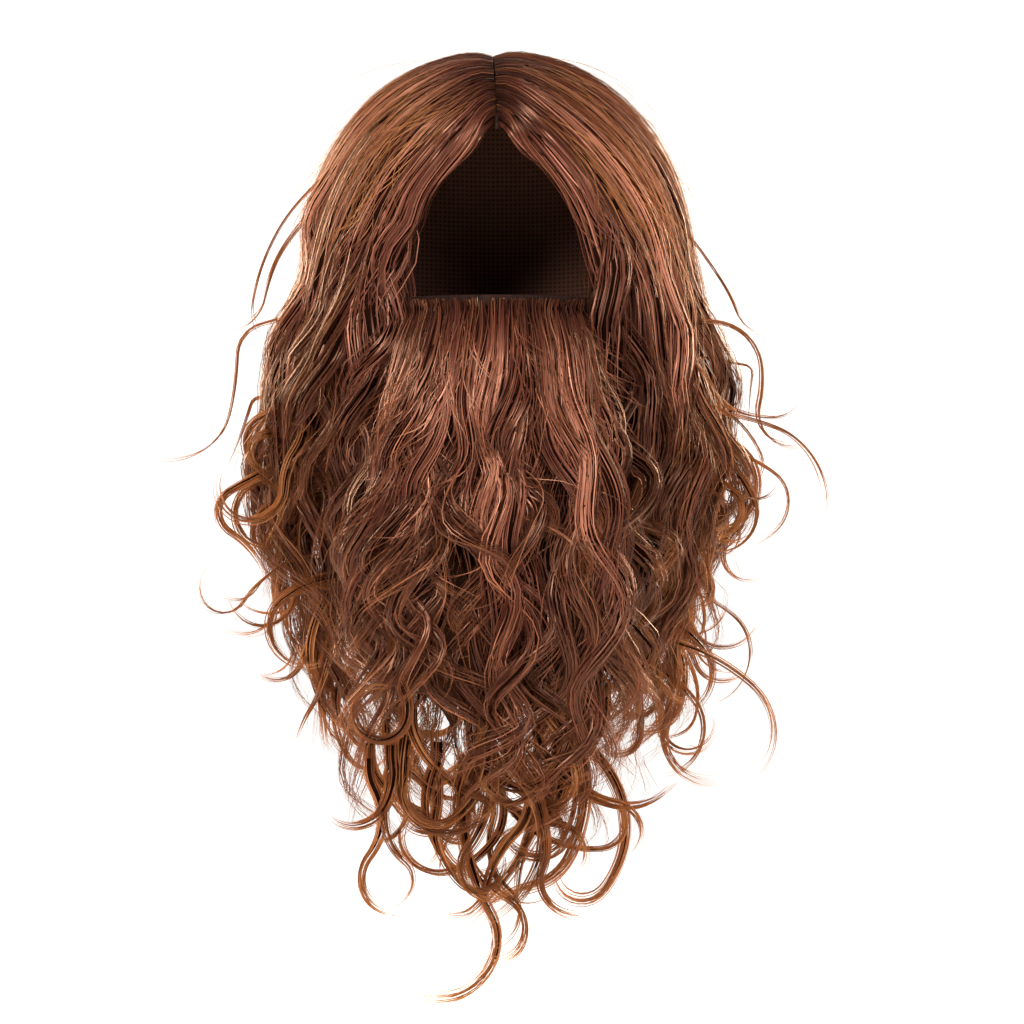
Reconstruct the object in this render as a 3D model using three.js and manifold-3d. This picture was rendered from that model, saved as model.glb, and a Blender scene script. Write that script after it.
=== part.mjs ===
// Long wizard wig with its full beard: a net cap, three sections of long wavy hair sewn to it,
// a dark parting seam between them, and a beard on a sewn band that two short elastics carry from the cap.
// Millimetres, +Z up. The origin is the inside of the cap's crown, where the top of the head bears.
// The wearer faces -Y, so the wearer's left is +X.
import * as THREE from "three";
import Module from "manifold-3d";

const wasm = await Module();
wasm.setup();

// Driving dimensions

const HEAD = { halfWidth: 78, halfDepth: 98, height: 105 }; // the cap's inside, half an ellipsoid
const CAP_WALL = 1.6;
const CAP_RIM = { front: -31, nape: -165, rise: 0.75 }; // heights, and how early it drops at the temples
const JOIN_TOLERANCE = 0.15;
const WEFT_GAP = 2; // room for the stitched wefts between the cap and the hair

// The outside of the hair over the head. It reaches further forward at the hairline than at the temples.
const DOME = { halfWidth: 124, front: 88, hairline: 112, back: 118, top: 20, equator: -112 };
const PARTING = { front: -51, back: 20, halfWidth: 2.4 }; // degrees from the crown, forwards negative
const SEAM = { halfWidth: 1, height: 5 };

// The outside and the inside of the hanging hair, as half ellipses at each height.
const FALL = [
  { z: -112, halfWidth: 124, front: 88, back: 118, inWidth: 82, inFront: 101, inBack: 105 },
  { z: -150, halfWidth: 136, front: 92, back: 121, inWidth: 84, inFront: 96, inBack: 102 },
  { z: -190, halfWidth: 149, front: 95, back: 123, inWidth: 85, inFront: 90, inBack: 98 },
  { z: -250, halfWidth: 158, front: 96, back: 122, inWidth: 86, inFront: 82, inBack: 93 },
  { z: -290, halfWidth: 154, front: 92, back: 119, inWidth: 86, inFront: 77, inBack: 90 },
  { z: -350, halfWidth: 136, front: 86, back: 113, inWidth: 86, inFront: 71, inBack: 87 },
  { z: -415, halfWidth: 122, front: 79, back: 105, inWidth: 84, inFront: 65, inBack: 83 },
  { z: -480, halfWidth: 90, front: 70, back: 92, inWidth: 74, inFront: 58, inBack: 76 },
];

// Each section runs between two angles round the head: -90 is the face, 0 the left ear, 90 the back.
const SIDE_ROOTS = { rootFrom: PARTING.front, rootTo: PARTING.back };
const SECTIONS = {
  left_hair: { from: -64, to: 53, inFrom: -38, ...SIDE_ROOTS, locks: 7, hem: -425 },
  right_hair: { from: 244, to: 127, inFrom: 218, ...SIDE_ROOTS, locks: 7, hem: -405 },
  back_hair: { from: 56, to: 124, inFrom: 56, rootFrom: 24, rootTo: 24, locks: 6, hem: -430 },
};
const LOCK = { columns: 3, valley: 0.66, crownValley: 0.9, shortfall: 0.22, tipThickness: 0.3 };
// The wave set in the hair.
const WAVE = { amplitude: 11, edge: 0.3, length: 78, start: -130, full: -330, spread: 1.6 };
const ROWS = { crown: 6, fall: 8 };

// The loose ringlet at the end of every lock.
const RINGLET = { start: 0.86, out: 0.42, radius: 15, edgeShare: 0.15, turns: 1.3, drop: 66, steps: 7, sides: 5 };
const RINGLET_LOCK = { width: 18, depth: 11, tip: 4 };

const BAND = { halfWidth: 80, halfDepth: 101, top: -144, height: 9, thickness: 2, halfAngle: 50, steps: 18 };
const STRAP = { width: 8, thickness: 1.2, fromAngle: -37, toAngle: -8, bottom: -153, top: -114, steps: 6 };

// The beard at each height: half width, how far back its sides and forward its middle lie, thickness.
const BEARD = [
  { z: -154, half: 50, side: -78, front: -107, thickness: 5 },
  { z: -178, half: 59, side: -97, front: -122, thickness: 12 },
  { z: -215, half: 67, side: -105, front: -133, thickness: 22 },
  { z: -280, half: 82, side: -103, front: -140, thickness: 32 },
  { z: -345, half: 92, side: -98, front: -138, thickness: 33 },
  { z: -410, half: 88, side: -94, front: -132, thickness: 29 },
  { z: -465, half: 72, side: -92, front: -126, thickness: 22 },
  { z: -525, half: 50, side: -96, front: -117, thickness: 12 },
];
const BEARD_SHEET = {
  locks: 7,
  rows: 12,
  halfAngle: 84,
  ridge: 7,
  sideThickness: 0.45,
  hem: -520,
  sideHem: -430,
};

// Curls that stand out of the outline: the solid, where they start in it [x, y, z], the drift in depth on
// the way, the heading in degrees from +X towards +Z, the width, and arcs of [radius, turn in degrees].
const CURLS = [
  ["right_hair", [-116, -24, -152], -8, 188, 6, [[200, 12], [22, 70], [220, -10], [40, -95]]],
  ["right_hair", [-122, -30, -211], -16, 185, 14, [[72, 30], [18, 90], [60, 20], [22, -100]]],
  ["right_hair", [-124, -30, -244], 14, 203, 14, [[330, 10], [16, 115], [60, -40]]],
  ["right_hair", [-112, -30, -268], 14, 184, 15, [[90, 25], [21, 170]]],
  ["right_hair", [-92, -36, -326], -14, 172, 16, [[60, 50], [24, 165]]],
  ["right_hair", [-104, -28, -366], 8, 238, 15, [[70, 30], [120, 18]]],
  ["left_hair", [116, -24, -155], -6, -4, 6, [[300, -6], [34, -73], [70, -20], [22, 135]]],
  ["left_hair", [128, -26, -236], 10, -24, 14, [[75, -44], [24, -140]]],
  ["left_hair", [116, -24, -262], -12, -40, 15, [[60, -30], [22, -120]]],
  ["left_hair", [112, -36, -304], 14, -28, 14, [[90, -20], [14, -150]]],
  ["left_hair", [108, -26, -340], -10, -70, 16, [[110, -42], [31, 114]]],
  ["left_hair", [110, -30, -352], 8, -22, 14, [[60, -35], [26, -110]]],
  ["left_hair", [82, -47, -372], 6, -66, 14, [[110, -30], [14, -150]]],
  ["beard", [-58, -110, -424], -10, -100, 20, [[160, 12], [29, 118], [70, 22]]],
  ["beard", [-40, -108, -446], 12, -110, 16, [[60, 60], [22, 110]]],
  ["beard", [-22, -112, -452], 6, -94, 19, [[150, 34], [36, -158]]],
  ["beard", [16, -114, -448], -10, -50, 18, [[58, -112]]],
  ["beard", [52, -108, -430], 8, -72, 19, [[90, -48], [38, -46], [80, 30]]],
  ["beard", [44, -106, -446], -6, -62, 15, [[44, 108]]],
  ["beard", [44, -104, -440], 10, -106, 16, [[260, -20], [300, -8]]],
  ["beard", [68, -104, -412], 4, -100, 15, [[40, -70], [20, -60]]],
];
const CURL = { sides: 5, stepAngle: 34, flatness: 0.62, tip: 2.5 };

const HAIR = new THREE.MeshStandardMaterial({ color: 0x5c2a18, roughness: 0.45, metalness: 0 });
const NET = new THREE.MeshStandardMaterial({ color: 0x24130d, roughness: 0.9, metalness: 0 });
const SEWN = new THREE.MeshStandardMaterial({ color: 0x2a140d, roughness: 0.8, metalness: 0 });

// Small helpers

const radians = THREE.MathUtils.degToRad;
const mix = THREE.MathUtils.lerp;
const ease = (t) => THREE.MathUtils.smoothstep(t, 0, 1);
const vector = (x, y, z) => new THREE.Vector3(x, y, z);

// A table's column at height z, on straight lines between its rows.
function at(table, column, z) {
  const below = table.findIndex((row) => row.z <= z);
  if (below === 0) return table[0][column];
  if (below < 0) return table[table.length - 1][column];
  const [upper, lower] = [table[below - 1], table[below]];
  return mix(lower[column], upper[column], (z - lower.z) / (upper.z - lower.z));
}

// A closed solid from two matching grids of points, an outer and an inner skin, joined round their edge.
function wallBetween(outer, inner) {
  const rows = outer.length;
  const columns = outer[0].length;
  const points = [...outer.flat(), ...inner.flat()];
  const outside = (i, j) => i * columns + j;
  const inside = (i, j) => rows * columns + i * columns + j;
  const faces = [];
  const quad = (a, b, c, d) => faces.push(a, b, c, a, c, d);
  for (let i = 0; i + 1 < rows; i++) {
    for (let j = 0; j + 1 < columns; j++) {
      quad(outside(i, j), outside(i + 1, j), outside(i + 1, j + 1), outside(i, j + 1));
      quad(inside(i, j), inside(i, j + 1), inside(i + 1, j + 1), inside(i + 1, j));
    }
    quad(outside(i, 0), inside(i, 0), inside(i + 1, 0), outside(i + 1, 0));
    const end = columns - 1;
    quad(outside(i, end), outside(i + 1, end), inside(i + 1, end), inside(i, end));
  }
  for (let j = 0; j + 1 < columns; j++) {
    quad(outside(0, j), outside(0, j + 1), inside(0, j + 1), inside(0, j));
    quad(outside(rows - 1, j), inside(rows - 1, j), inside(rows - 1, j + 1), outside(rows - 1, j + 1));
  }
  return solid(points, faces);
}

// A closed lock of oval section along a path, its width and depth given at each point.
function lockAlong(path, widths, depths, sides) {
  const steps = path.length - 1;
  const frames = new THREE.CatmullRomCurve3(path).computeFrenetFrames(steps, false);
  const points = [];
  path.forEach((centre, i) => {
    for (let k = 0; k < sides; k++) {
      const turn = (2 * Math.PI * k) / sides;
      points.push(
        centre
          .clone()
          .addScaledVector(frames.normals[i], (Math.cos(turn) * widths[i]) / 2)
          .addScaledVector(frames.binormals[i], (Math.sin(turn) * depths[i]) / 2),
      );
    }
  });
  const faces = [];
  for (let i = 0; i < steps; i++) {
    for (let k = 0; k < sides; k++) {
      const next = (k + 1) % sides;
      const [a, b] = [i * sides + k, i * sides + next];
      faces.push(a, b, b + sides, a, b + sides, a + sides);
    }
  }
  for (let k = 1; k + 1 < sides; k++) {
    faces.push(0, k + 1, k);
    faces.push(steps * sides, steps * sides + k, steps * sides + k + 1);
  }
  return solid(points, faces);
}

// A solid for joining, from points and triangles, turned so that its faces point out.
function solid(points, faces) {
  const make = (triangles) =>
    new wasm.Manifold(
      new wasm.Mesh({
        numProp: 3,
        vertProperties: new Float32Array(points.flatMap((p) => [p.x, p.y, p.z])),
        triVerts: new Uint32Array(triangles),
      }),
    );
  const made = make(faces);
  return made.volume() > 0 ? made : make(faces.toReversed());
}

// Locks fused together, with the small voids shut in between them filled and slivers at the joins removed.
function fused(locks) {
  const joined = locks.reduce((sum, lock) => sum.add(lock));
  return joined
    .simplify(JOIN_TOLERANCE)
    .decompose()
    .filter((shell) => shell.volume() > 1)
    .reduce((sum, shell) => sum.add(shell));
}

function meshOf(name, made, material) {
  const { vertProperties, triVerts } = made.getMesh();
  const geometry = new THREE.BufferGeometry();
  geometry.setAttribute("position", new THREE.BufferAttribute(vertProperties, 3));
  geometry.setIndex(new THREE.BufferAttribute(triVerts, 1));
  geometry.computeVertexNormals();
  const mesh = new THREE.Mesh(geometry, material);
  mesh.name = name;
  return mesh;
}

// The head under the cap, and the outside of the hair over it

// A point on the cap, grown outwards by a thickness, in a direction from the middle of the head.
function onHead(direction, grown) {
  return vector(
    direction.x * (HEAD.halfWidth + grown),
    direction.y * (HEAD.halfDepth + grown),
    direction.z * (HEAD.height + grown) - HEAD.height,
  );
}

function onDome(direction) {
  const depth = direction.y < 0 ? mix(DOME.front, DOME.hairline, direction.z) : DOME.back;
  return vector(
    direction.x * DOME.halfWidth,
    direction.y * depth,
    direction.z * (DOME.top - DOME.equator) + DOME.equator,
  );
}

const roundHead = (angle) => vector(Math.cos(radians(angle)), Math.sin(radians(angle)), 0);

// Direction at a share of the way from one direction to another, along the great circle between them.
function between(from, to, share) {
  const whole = from.angleTo(to);
  const a = Math.sin((1 - share) * whole) / Math.sin(whole);
  const b = Math.sin(share * whole) / Math.sin(whole);
  return from.clone().multiplyScalar(a).addScaledVector(to, b);
}

// Cap and parting seam

function rimHeight(angle) {
  const backwards = (1 + Math.sin(radians(angle))) / 2;
  return mix(CAP_RIM.front, CAP_RIM.nape, backwards ** CAP_RIM.rise);
}

function capSolid(sides = 24, rings = 7) {
  const ring = (i, grown) =>
    Array.from({ length: sides }, (_, k) => {
      const angle = (360 * k) / sides;
      const lowest = Math.acos((rimHeight(angle) + HEAD.height) / HEAD.height);
      const tilt = (lowest * i) / rings;
      const flat = roundHead(angle).multiplyScalar(Math.sin(tilt));
      return onHead(flat.setZ(Math.cos(tilt)), grown);
    });
  const points = [onHead(vector(0, 0, 1), CAP_WALL), onHead(vector(0, 0, 1), 0)];
  const skin = [CAP_WALL, 0].map((grown) => {
    const first = points.length;
    for (let i = 1; i <= rings; i++) points.push(...ring(i, grown));
    return (i, k) => first + (i - 1) * sides + (k % sides);
  });
  const faces = [];
  for (let k = 0; k < sides; k++) {
    faces.push(0, skin[0](1, k), skin[0](1, k + 1));
    faces.push(1, skin[1](1, k + 1), skin[1](1, k));
    for (let i = 1; i < rings; i++) {
      const [a, b, c, d] = [skin[0](i, k), skin[0](i + 1, k), skin[0](i + 1, k + 1), skin[0](i, k + 1)];
      faces.push(a, b, c, a, c, d);
      const [e, f, g, h] = [skin[1](i, k), skin[1](i, k + 1), skin[1](i + 1, k + 1), skin[1](i + 1, k)];
      faces.push(e, f, g, e, g, h);
    }
    const [a, b] = [skin[0](rings, k), skin[1](rings, k)];
    const [c, d] = [skin[1](rings, k + 1), skin[0](rings, k + 1)];
    faces.push(a, b, c, a, c, d);
  }
  return solid(points, faces);
}

function seamSolid(steps = 10) {
  const line = (x, grown) =>
    Array.from({ length: steps + 1 }, (_, i) => {
      const tilt = radians(mix(PARTING.front, PARTING.back, i / steps));
      return onHead(vector(0, Math.sin(tilt), Math.cos(tilt)), grown).setX(x);
    });
  const base = CAP_WALL + WEFT_GAP;
  return wallBetween(
    [line(-SEAM.halfWidth, base + SEAM.height), line(SEAM.halfWidth, base + SEAM.height)],
    [line(-SEAM.halfWidth, base), line(SEAM.halfWidth, base)],
  );
}

// The three sections of hair

const mirrored = (section) => (Math.cos(radians(section.from)) < 0 ? -1 : 1);

// Sideways swing of the set wave at height z, in millimetres, across the share of a section.
function swing(z, across) {
  const growth = ease((WAVE.start - z) / (WAVE.start - WAVE.full));
  const inwards = Math.sin(Math.PI * across);
  const phase = (2 * Math.PI * (WAVE.start - z)) / WAVE.length + WAVE.spread * inwards;
  return WAVE.amplitude * mix(WAVE.edge, 1, inwards) * growth * Math.sin(phase);
}

// A point of a section: across from its front edge, down from the parting (0) over the equator (1) to the
// hem (2), and out from its inside (0) to its outside (1).
function onSection(section, across, down, out) {
  const tilt = radians(mix(section.rootFrom, section.rootTo, across));
  const side = section.rootFrom === section.rootTo ? mix(1, -1, across) : mirrored(section);
  const aside = (side * PARTING.halfWidth) / DOME.halfWidth;
  const root = vector(aside, Math.sin(tilt), Math.cos(tilt)).normalize();
  const outAngle = mix(section.from, section.to, across);
  const inAngle = mix(section.inFrom, section.to, across);
  if (down <= 1) {
    const inside = onHead(between(root, roundHead(inAngle), down), CAP_WALL + WEFT_GAP);
    const outside = onDome(between(root, roundHead(outAngle), down));
    const fullness = mix(0.7, 1, ease(down / 0.15));
    return inside.lerp(outside, out * fullness);
  }
  const z = mix(DOME.equator, section.hem, down - 1);
  const ring = (angle, width, front, back) => {
    const flat = roundHead(angle);
    return vector(flat.x * at(FALL, width, z), flat.y * at(FALL, flat.y < 0 ? front : back, z), z);
  };
  const inside = ring(inAngle, "inWidth", "inFront", "inBack");
  const outside = ring(outAngle, "halfWidth", "front", "back");
  const point = inside.clone().lerp(outside, out);
  const sideways = vector(outside.y - inside.y, inside.x - outside.x, 0).normalize();
  return point.addScaledVector(sideways, swing(z, across));
}

// The wall of a section, pleated into locks: a valley and two ridge columns each, the ridges hanging lower.
function sectionWall(section) {
  const columns = section.locks * LOCK.columns;
  const rows = ROWS.crown + ROWS.fall;
  const grid = (skin) =>
    Array.from({ length: rows + 1 }, (_, i) =>
      Array.from({ length: columns + 1 }, (_, j) => {
        const valley = j % LOCK.columns === 0;
        const everyOther = Math.floor(j / LOCK.columns) % 2;
        const reach = 1 - LOCK.shortfall * (valley ? 1 : 0.5 * everyOther);
        const falling = Math.max(0, i - ROWS.crown) / ROWS.fall;
        const down = Math.min(1, i / ROWS.crown) + falling * reach;
        const depth = mix(LOCK.crownValley, LOCK.valley, ease(down - 0.4));
        const thinning = ease((falling - 0.55) / 0.45) * (1 - LOCK.tipThickness) * 0.5;
        const outside = mix(thinning, 1 - thinning, valley ? depth : 1);
        return onSection(section, j / columns, down, skin === "outer" ? outside : thinning);
      }),
    );
  return wallBetween(grid("outer"), grid("inner"));
}

// The ringlet at the end of one lock: its path leaves the wall and winds round a line straight down.
function ringlet(section, index) {
  const across = (index + 0.5) / section.locks;
  const start = onSection(section, across, 1 + RINGLET.start, RINGLET.out);
  const outwards = vector(start.x, start.y, 0).normalize();
  const sideways = vector(-outwards.y, outwards.x, 0);
  const lowest = section.hem - RINGLET.drop * (0.4 + 0.6 * Math.abs(Math.sin(2.4 * index + 1)));
  const atEdge = index === 0 || index === section.locks - 1;
  const widest = atEdge ? RINGLET.radius * RINGLET.edgeShare : RINGLET.radius;
  const path = [];
  const widths = [];
  for (let i = 0; i <= RINGLET.steps; i++) {
    const t = i / RINGLET.steps;
    const turn = 2 * Math.PI * RINGLET.turns * t + 2.4 * index;
    const radius = widest * ease((t - 0.15) * 1.5);
    const point = vector(start.x, start.y, mix(start.z, lowest, t));
    point.addScaledVector(sideways, radius * Math.cos(turn));
    path.push(point.addScaledVector(outwards, radius * Math.sin(turn) - 0.12 * (start.z - point.z)));
    widths.push(mix(RINGLET_LOCK.width, RINGLET_LOCK.tip, ease(t) ** 1.5));
  }
  const depths = widths.map((w) => (w * RINGLET_LOCK.depth) / RINGLET_LOCK.width);
  return lockAlong(path, widths, depths, RINGLET.sides);
}

// A curl drawn as a chain of arcs in a plane that faces the front, drifting in depth to clear itself.
function curlLock([, [x, y, z], drift, setOff, width, arcs]) {
  const path = [vector(x, y, z)];
  let heading = radians(setOff);
  const whole = arcs.reduce((sum, [radius, turn]) => sum + radius * Math.abs(radians(turn)), 0);
  let walked = 0;
  for (const [radius, turn] of arcs) {
    const steps = Math.max(2, Math.ceil(Math.abs(turn) / CURL.stepAngle));
    const bend = radians(turn) / steps;
    const chord = 2 * radius * Math.sin(Math.abs(bend) / 2);
    for (let i = 0; i < steps; i++) {
      heading += bend / 2;
      walked += chord;
      const step = vector(chord * Math.cos(heading), 0, chord * Math.sin(heading));
      path.push(step.add(path[path.length - 1]).setY(y + (drift * walked) / whole));
      heading += bend / 2;
    }
  }
  const widths = path.map((_, i) => mix(width, CURL.tip, ease(i / (path.length - 1)) ** 1.3));
  return lockAlong(path, widths.map((w) => w * CURL.flatness), widths, CURL.sides);
}

const curlsOn = (name) => CURLS.filter(([on]) => on === name).map(curlLock);

function sectionSolid(name) {
  const section = SECTIONS[name];
  const ringlets = Array.from({ length: section.locks }, (_, index) => ringlet(section, index));
  return fused([sectionWall(section), ...ringlets, ...curlsOn(name)]);
}

// Beard

// A point of the beard: across from -1 to 1, at height z, on its outer or inner skin.
function onBeard(across, z, ridge, skin) {
  const turn = radians(BEARD_SHEET.halfAngle * across);
  const [half, side, front] = ["half", "side", "front"].map((column) => at(BEARD, column, z));
  const middle = at(BEARD, "thickness", z);
  const thickness = middle * mix(BEARD_SHEET.sideThickness, 1, Math.cos(turn));
  const growth = ease((BEARD[0].z - z) / 60);
  const outer = vector(half * Math.sin(turn), mix(side, front, Math.cos(turn)) + ridge * growth, z);
  const sway = vector(swing(z, (across + 1) / 2) * 0.7 * ease((BEARD[1].z - z) / 120), 0, 0);
  const inwards = vector(-Math.sin(turn) * 0.35, 1, 0).multiplyScalar(thickness);
  return (skin === "outer" ? outer : outer.clone().add(inwards)).add(sway);
}

function beardWall() {
  const columns = BEARD_SHEET.locks * LOCK.columns;
  const grid = (skin) =>
    Array.from({ length: BEARD_SHEET.rows + 1 }, (_, i) =>
      Array.from({ length: columns + 1 }, (_, j) => {
        const valley = j % LOCK.columns === 0;
        const reach = valley ? 1 - LOCK.shortfall * 0.5 : 1;
        const across = mix(-1, 1, j / columns);
        const hem = mix(BEARD_SHEET.hem, BEARD_SHEET.sideHem, Math.abs(across) ** 1.5);
        const z = mix(BEARD[0].z, hem, (reach * i) / BEARD_SHEET.rows);
        return onBeard(across, z, valley && skin === "outer" ? BEARD_SHEET.ridge : 0, skin);
      }),
    );
  return wallBetween(grid("outer"), grid("inner"));
}

const beardSolid = () => fused([beardWall(), ...curlsOn("beard")]);

// A strip that stands on the face's oval between two angles, its height and middle given at each step.
function stripRoundFace(fromAngle, toAngle, steps, middle, height, thickness) {
  const line = (up, out) =>
    Array.from({ length: steps + 1 }, (_, i) => {
      const share = i / steps;
      const flat = roundHead(mix(fromAngle, toAngle, share));
      const z = middle(share) + up * height;
      return vector(flat.x * (BAND.halfWidth + out), flat.y * (BAND.halfDepth + out), z);
    });
  return wallBetween(
    [line(0.5, thickness / 2), line(-0.5, thickness / 2)],
    [line(0.5, -thickness / 2), line(-0.5, -thickness / 2)],
  );
}

function bandSolid() {
  const middle = () => BAND.top - BAND.height / 2;
  const [from, to] = [-90 - BAND.halfAngle, -90 + BAND.halfAngle];
  return stripRoundFace(from, to, BAND.steps, middle, BAND.height, BAND.thickness);
}

function strapSolid(side) {
  const angle = (left) => (side > 0 ? left : 180 - left);
  const middle = (share) => mix(STRAP.bottom, STRAP.top, share) + STRAP.width / 2;
  return stripRoundFace(
    angle(STRAP.fromAngle),
    angle(STRAP.toAngle),
    STRAP.steps,
    middle,
    STRAP.width,
    STRAP.thickness,
  );
}

const wig = new THREE.Group();
wig.add(meshOf("cap", capSolid(), NET));
wig.add(meshOf("parting_seam", seamSolid(), SEWN));
for (const name of Object.keys(SECTIONS)) wig.add(meshOf(name, sectionSolid(name), HAIR));
wig.add(meshOf("beard_band", bandSolid(), SEWN));
wig.add(meshOf("beard_strap_left", strapSolid(1), NET));
wig.add(meshOf("beard_strap_right", strapSolid(-1), NET));
wig.add(meshOf("beard", beardSolid(), HAIR));

export default wig;
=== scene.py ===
# %% [markdown]
# # A long wizard wig and its beard
# A costume wig is thousands of fibres sewn to a net cap, and the eye reads them as locks: bundles that lie
# together, wave together and part only at their ends. This lesson builds the hair the same way. It works out
# where a lock lies on the head, gives it waves and a curled end, and then lays fibres round it.

import bpy
import numpy as np
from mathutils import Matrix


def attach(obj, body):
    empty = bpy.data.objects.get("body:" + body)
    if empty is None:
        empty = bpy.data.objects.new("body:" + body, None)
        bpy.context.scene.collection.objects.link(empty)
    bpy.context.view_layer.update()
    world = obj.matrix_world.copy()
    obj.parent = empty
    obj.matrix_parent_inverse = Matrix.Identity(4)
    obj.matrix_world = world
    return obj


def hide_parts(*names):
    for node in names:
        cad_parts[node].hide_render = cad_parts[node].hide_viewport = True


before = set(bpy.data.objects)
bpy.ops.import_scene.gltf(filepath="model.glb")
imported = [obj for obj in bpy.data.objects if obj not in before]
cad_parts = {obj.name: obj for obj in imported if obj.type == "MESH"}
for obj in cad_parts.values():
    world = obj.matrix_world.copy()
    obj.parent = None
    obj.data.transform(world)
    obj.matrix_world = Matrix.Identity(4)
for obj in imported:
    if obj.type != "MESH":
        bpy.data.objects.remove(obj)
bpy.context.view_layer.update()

MM = 0.001
chance = np.random.default_rng(6504)

# %% [markdown]
# ## Camera and studio
# The wig faces the camera squarely, at about the height of its middle, from far enough away to flatten it.
# One image of 1024 pixels covers 0.666 m here. The floor rises behind into a white sweep, so that no
# horizon shows, and the light is soft and frontal with a little more from behind to shine through loose ends.

# %% The camera, the floor and the light
PIXEL = 0.65 * MM
CAMERA_AT = np.array([9.75, -2640, -282]) * MM
SUBJECT_DISTANCE = 2.6

camera = bpy.data.objects.new("camera", bpy.data.cameras.new("camera"))
camera.location = CAMERA_AT
camera.rotation_euler = (np.pi / 2, 0, 0)
camera.data.lens = camera.data.sensor_width * SUBJECT_DISTANCE / (1024 * PIXEL)
bpy.context.collection.objects.link(camera)
bpy.context.scene.camera = camera
bpy.context.scene.view_settings.view_transform = "Standard"


def linear(colour):
    """An sRGB hex colour as linear red, green, blue and alpha 1: each channel by the standard's curve."""
    s = np.array([int(colour[i : i + 2], 16) for i in (1, 3, 5)]) / 255
    return (*np.where(s <= 0.04045, s / 12.92, ((s + 0.055) / 1.055) ** 2.4), 1.0)


def node(tree, kind, settings=None, **links):
    """Adds a node, sets its properties and sockets by name, and links other nodes' outputs to its sockets."""
    made = tree.nodes.new(kind)
    for key, value in (settings or {}).items():
        if isinstance(key, str) and hasattr(made, key):
            setattr(made, key, value)
        else:
            made.inputs[key].default_value = value
    for key, output in links.items():
        by_number = key[0] == "n" and key[1:].isdigit()
        tree.links.new(output, made.inputs[int(key[1:]) if by_number else key.replace("_", " ")])
    return made


def new_material(name):
    """A material with an empty node tree, and its output node."""
    material = bpy.data.materials.new(name)
    material.use_nodes = True
    material.node_tree.nodes.clear()
    return material, material.node_tree, material.node_tree.nodes.new("ShaderNodeOutputMaterial")


FLOOR_Z, SWEEP_Y, SWEEP_R, REACH = -0.78, 3.2, 0.9, 7.0
bend = np.linspace(0, np.pi / 2, 25)
profile = np.concatenate(
    [
        [[-REACH, FLOOR_Z]],
        np.stack([SWEEP_Y + SWEEP_R * np.sin(bend), FLOOR_Z + SWEEP_R * (1 - np.cos(bend))], 1),
        [[SWEEP_Y + SWEEP_R, REACH]],
    ]
)
sweep = bpy.data.meshes.new("studio_sweep")
across = np.array([-REACH, REACH])
points = np.concatenate([np.insert(profile, 0, x, axis=1) for x in across])
count = len(profile)
sweep.from_pydata(points.tolist(), [], [(i, i + count, i + count + 1, i + 1) for i in range(count - 1)])
sweep.polygons.foreach_set("use_smooth", np.ones(count - 1, bool))
paper, tree, out = new_material("white studio paper")
lit = {"Emission Color": (1, 1, 1, 1), "Emission Strength": 0.5}
white = {"Base Color": linear("#f4f4f2"), "Roughness": 0.9, **lit}
surface = node(tree, "ShaderNodeBsdfPrincipled", white)
tree.links.new(surface.outputs[0], out.inputs["Surface"])
sweep.materials.append(paper)
floor = bpy.data.objects.new("studio_sweep", sweep)
bpy.context.collection.objects.link(floor)

world = bpy.data.worlds.new("soft studio")
bpy.context.scene.world = world
world.use_nodes = True
world.node_tree.nodes["Background"].inputs["Color"].default_value = (1, 1, 1, 1)
world.node_tree.nodes["Background"].inputs["Strength"].default_value = 0.18

LIT_POINT = np.array([0, 0, -0.25])
# place and size in metres, watts, colour
LIGHTS = {
    "key": ((-0.9, -2.6, 1.1), 0.7, 76, "#ffffff"),
    "fill": ((1.5, -2.4, 0.4), 1.0, 26, "#ffffff"),
    "behind_left": ((-1.2, 0.9, 0.3), 0.9, 56, "#ffdcb8"),
    "behind_right": ((1.2, 0.9, 0.3), 0.9, 56, "#ffdcb8"),
}
for name, (place, size, watts, colour) in LIGHTS.items():
    lamp = bpy.data.objects.new(name, bpy.data.lights.new(name, "AREA"))
    lamp.data.size, lamp.data.energy, lamp.data.color = size, watts, linear(colour)[:3]
    lamp.location = place
    aim = LIT_POINT - place
    tilt = np.arccos(-aim[2] / np.linalg.norm(aim))
    lamp.rotation_euler = (tilt, 0, np.arctan2(aim[1], aim[0]) - np.pi / 2)
    bpy.context.collection.objects.link(lamp)
print("lens", round(camera.data.lens, 1), "mm")

# %% [markdown]
# ## The form of the hair
# The same few sizes drive the solids: the head under the cap, the dome of hair over it, the half ellipses of
# the hanging hair at each height, and the beard at each height. Every lock and fibre is placed on these.

# %% Sizes of the head, the hair and the beard, in millimetres
HEAD = np.array([78, 98, 105])  # half width, half depth, height
UNDER_HAIR = 3.6  # the cap's wall and the stitched wefts on it
DOME = {"half_width": 124, "front": 88, "hairline": 112, "back": 118, "top": 20, "equator": -112}
PARTING = {"front": -51, "back": 20, "half_width": 1.1, "lean": -5}
# height, outside half width, front and back, inside half width, front and back
FALL = np.array(
    [
        (-112, 124, 88, 118, 82, 101, 105),
        (-150, 136, 92, 121, 84, 96, 102),
        (-190, 149, 95, 123, 85, 90, 98),
        (-250, 161, 96, 122, 86, 82, 93),
        (-290, 158, 92, 119, 86, 77, 90),
        (-350, 136, 86, 113, 86, 71, 87),
        (-415, 122, 79, 105, 84, 65, 83),
        (-480, 90, 70, 92, 74, 58, 76),
    ]
)
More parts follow.
